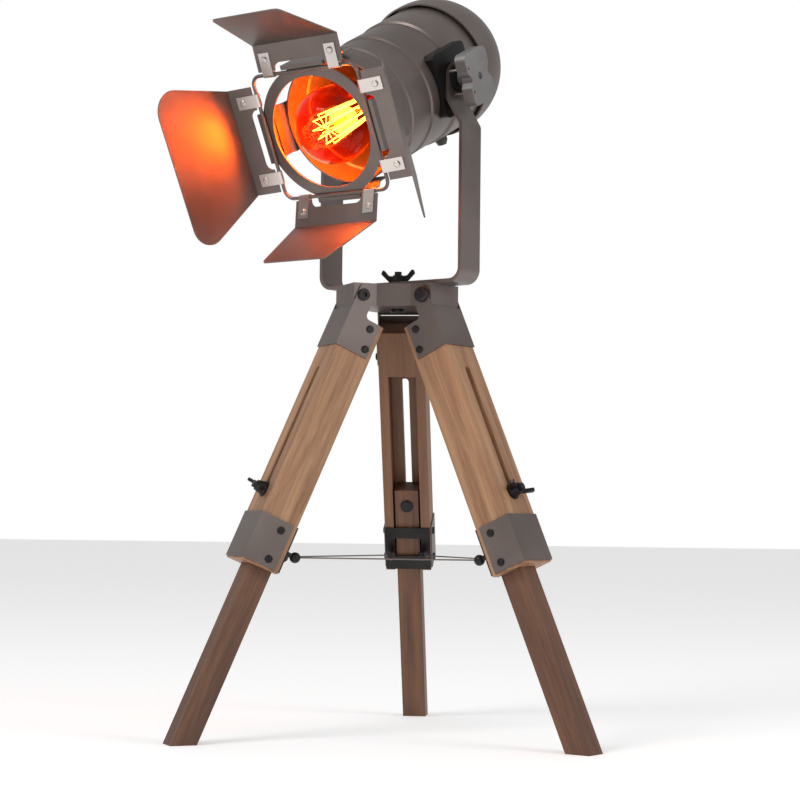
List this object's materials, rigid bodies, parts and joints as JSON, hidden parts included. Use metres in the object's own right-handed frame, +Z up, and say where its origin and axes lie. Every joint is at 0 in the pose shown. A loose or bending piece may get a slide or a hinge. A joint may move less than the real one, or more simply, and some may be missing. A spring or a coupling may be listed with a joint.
{
  "type": "tripod spotlight floor lamp",
  "caption": "Wooden tripod spotlight lamp with sliding legs, a yoke-held barrel head, an amber filament bulb and four barn door leaves on a wire frame.",
  "frame": {"origin": "floor point under the tripod's axis: mount floor", "axes": "+Z up out of the floor, rear leg to +Y, the picture's camera near -Y"},
  "size_m": [0.3522, 0.4152, 0.6296],
  "materials": {
    "wood": "satin",
    "wire": "satin",
    "amber_glass": "gloss",
    "filament": "matte",
    "brass": "satin",
    "nickel": "satin",
    "grey_knob": "satin",
    "black_steel": "satin",
    "bakelite": "satin",
    "bronze_steel": "satin"
  },
  "bodies": {
    "hub": {"hub_block": "bronze_steel", "pan_bolt": "black_steel", "leg_hinge_bolts": "black_steel"},
    "upper_rear": {"upper_leg_rear": "wood", "upper_bracket_rear": "bronze_steel", "lower_bracket_rear": "bronze_steel", "inner_plate_rear": "black_steel", "bracket_screws_rear": "black_steel", "spreader_wire_rear": "wire"},
    "lower_rear": {"lower_leg_rear": "wood", "leg_bolt_rear": "black_steel"},
    "nut_rear": {"leg_wing_nut_rear": "black_steel"},
    "upper_left": {"upper_leg_left": "wood", "upper_bracket_left": "bronze_steel", "lower_bracket_left": "bronze_steel", "inner_plate_left": "black_steel", "bracket_screws_left": "black_steel", "spreader_wire_left": "wire"},
    "lower_left": {"lower_leg_left": "wood", "leg_bolt_left": "black_steel"},
    "nut_left": {"leg_wing_nut_left": "black_steel"},
    "upper_right": {"upper_leg_right": "wood", "upper_bracket_right": "bronze_steel", "lower_bracket_right": "bronze_steel", "inner_plate_right": "black_steel", "bracket_screws_right": "black_steel", "spreader_wire_right": "wire"},
    "lower_right": {"lower_leg_right": "wood", "leg_bolt_right": "black_steel"},
    "nut_right": {"leg_wing_nut_right": "black_steel"},
    "yoke": {"yoke": "bronze_steel"},
    "pan_nut": {"pan_wing_nut": "black_steel"},
    "head": {"housing_barrel": "bronze_steel", "rear_dome": "bronze_steel", "side_brackets": "black_steel", "side_bracket_screws": "black_steel", "tilt_bolts": "nickel", "lamp_holder": "bakelite", "holder_plate": "bronze_steel", "bulb_glass": "amber_glass", "bulb_cap": "brass", "bulb_stem": "amber_glass", "filament": "filament", "filter_ring": "bronze_steel", "holder_clips": "bronze_steel", "door_frame": "bronze_steel", "cable_gland": "black_steel", "friction_discs": "black_steel"},
    "knob_left": {"tilt_knob_left": "grey_knob", "tilt_pins_left": "nickel"},
    "knob_right": {"tilt_knob_right": "grey_knob", "tilt_pins_right": "nickel"},
    "leaf_top_body": {"leaf_top": "bronze_steel", "leaf_tabs_top": "nickel"},
    "leaf_left_body": {"leaf_left": "bronze_steel", "leaf_tabs_left": "nickel"},
    "leaf_bottom_body": {"leaf_bottom": "bronze_steel", "leaf_tabs_bottom": "nickel"},
    "leaf_right_body": {"leaf_right": "bronze_steel", "leaf_tabs_right": "nickel"}
  },
  "joints": [
    {"name": "leg_fold_rear", "type": "hinge", "parent": "hub", "child": "upper_rear", "pos_m": [0, 0.04, 0.365], "axis": [-1, 0, 0], "range_deg": [0, 20], "deforming": ["spreader_wire_rear"]},
    {"name": "leg_slide_rear", "type": "slide", "parent": "upper_rear", "child": "lower_rear", "axis": [0, -0.4067, 0.9135], "range_m": [0, 0.104]},
    {"name": "leg_nut_rear", "type": "hinge", "parent": "lower_rear", "child": "nut_rear", "pos_m": [0, 0.11724, 0.20455], "axis": [0, 0.9135, 0.4067], "continuous": true},
    {"name": "leg_fold_left", "type": "hinge", "parent": "hub", "child": "upper_left", "pos_m": [-0.03464, -0.02, 0.365], "axis": [0.5, -0.866, 0], "range_deg": [0, 20], "deforming": ["spreader_wire_left"]},
    {"name": "leg_slide_left", "type": "slide", "parent": "upper_left", "child": "lower_left", "axis": [0.3522, 0.2034, 0.9135], "range_m": [0, 0.104]},
    {"name": "leg_nut_left", "type": "hinge", "parent": "lower_left", "child": "nut_left", "pos_m": [-0.10153, -0.05862, 0.20455], "axis": [-0.7912, -0.4568, 0.4067], "continuous": true},
    {"name": "leg_fold_right", "type": "hinge", "parent": "hub", "child": "upper_right", "pos_m": [0.03464, -0.02, 0.365], "axis": [0.5, 0.866, 0], "range_deg": [0, 20], "deforming": ["spreader_wire_right"]},
    {"name": "leg_slide_right", "type": "slide", "parent": "upper_right", "child": "lower_right", "axis": [-0.3522, 0.2034, 0.9135], "range_m": [0, 0.104]},
    {"name": "leg_nut_right", "type": "hinge", "parent": "lower_right", "child": "nut_right", "pos_m": [0.10153, -0.05862, 0.20455], "axis": [0.7912, -0.4568, 0.4067], "continuous": true},
    {"name": "pan", "type": "hinge", "parent": "hub", "child": "yoke", "pos_m": [0, 0, 0.375], "axis": [0, 0, 1], "continuous": true},
    {"name": "pan_nut_turn", "type": "hinge", "parent": "hub", "child": "pan_nut", "pos_m": [0, 0, 0.38], "axis": [0, 0, 1], "continuous": true},
    {"name": "tilt", "type": "hinge", "parent": "yoke", "child": "head", "pos_m": [0, 0, 0.546], "axis": [0.8704, -0.4924, 0], "range_deg": [-45, 8]},
    {"name": "tilt_knob_left_turn", "type": "hinge", "parent": "head", "child": "knob_left", "pos_m": [0, 0, 0.546], "axis": [0.8704, -0.4924, 0], "continuous": true},
    {"name": "tilt_knob_right_turn", "type": "hinge", "parent": "head", "child": "knob_right", "pos_m": [0, 0, 0.546], "axis": [0.8704, -0.4924, 0], "continuous": true},
    {"name": "leaf_top_fold", "type": "hinge", "parent": "head", "child": "leaf_top_body", "pos_m": [-0.06559, -0.11594, 0.53562], "axis": [0.8704, -0.4924, 0], "range_deg": [-12, 12]},
    {"name": "leaf_left_fold", "type": "hinge", "parent": "head", "child": "leaf_left_body", "pos_m": [-0.09922, -0.06917, 0.48923], "axis": [-0.2274, -0.4019, 0.887], "range_deg": [-15, 10]},
    {"name": "leaf_bottom_fold", "type": "hinge", "parent": "head", "child": "leaf_bottom_body", "pos_m": [-0.04181, -0.0739, 0.44284], "axis": [-0.8704, 0.4924, 0], "range_deg": [-12, 8]},
    {"name": "leaf_right_fold", "type": "hinge", "parent": "head", "child": "leaf_right_body", "pos_m": [-0.00818, -0.12067, 0.48923], "axis": [0.2274, 0.4019, -0.887], "range_deg": [-15, 10]}
  ],
  "couplings": [
    {"joint": "leg_fold_left", "follows": "leg_fold_rear", "ratio": 1},
    {"joint": "leg_fold_right", "follows": "leg_fold_rear", "ratio": 1}
  ]
}
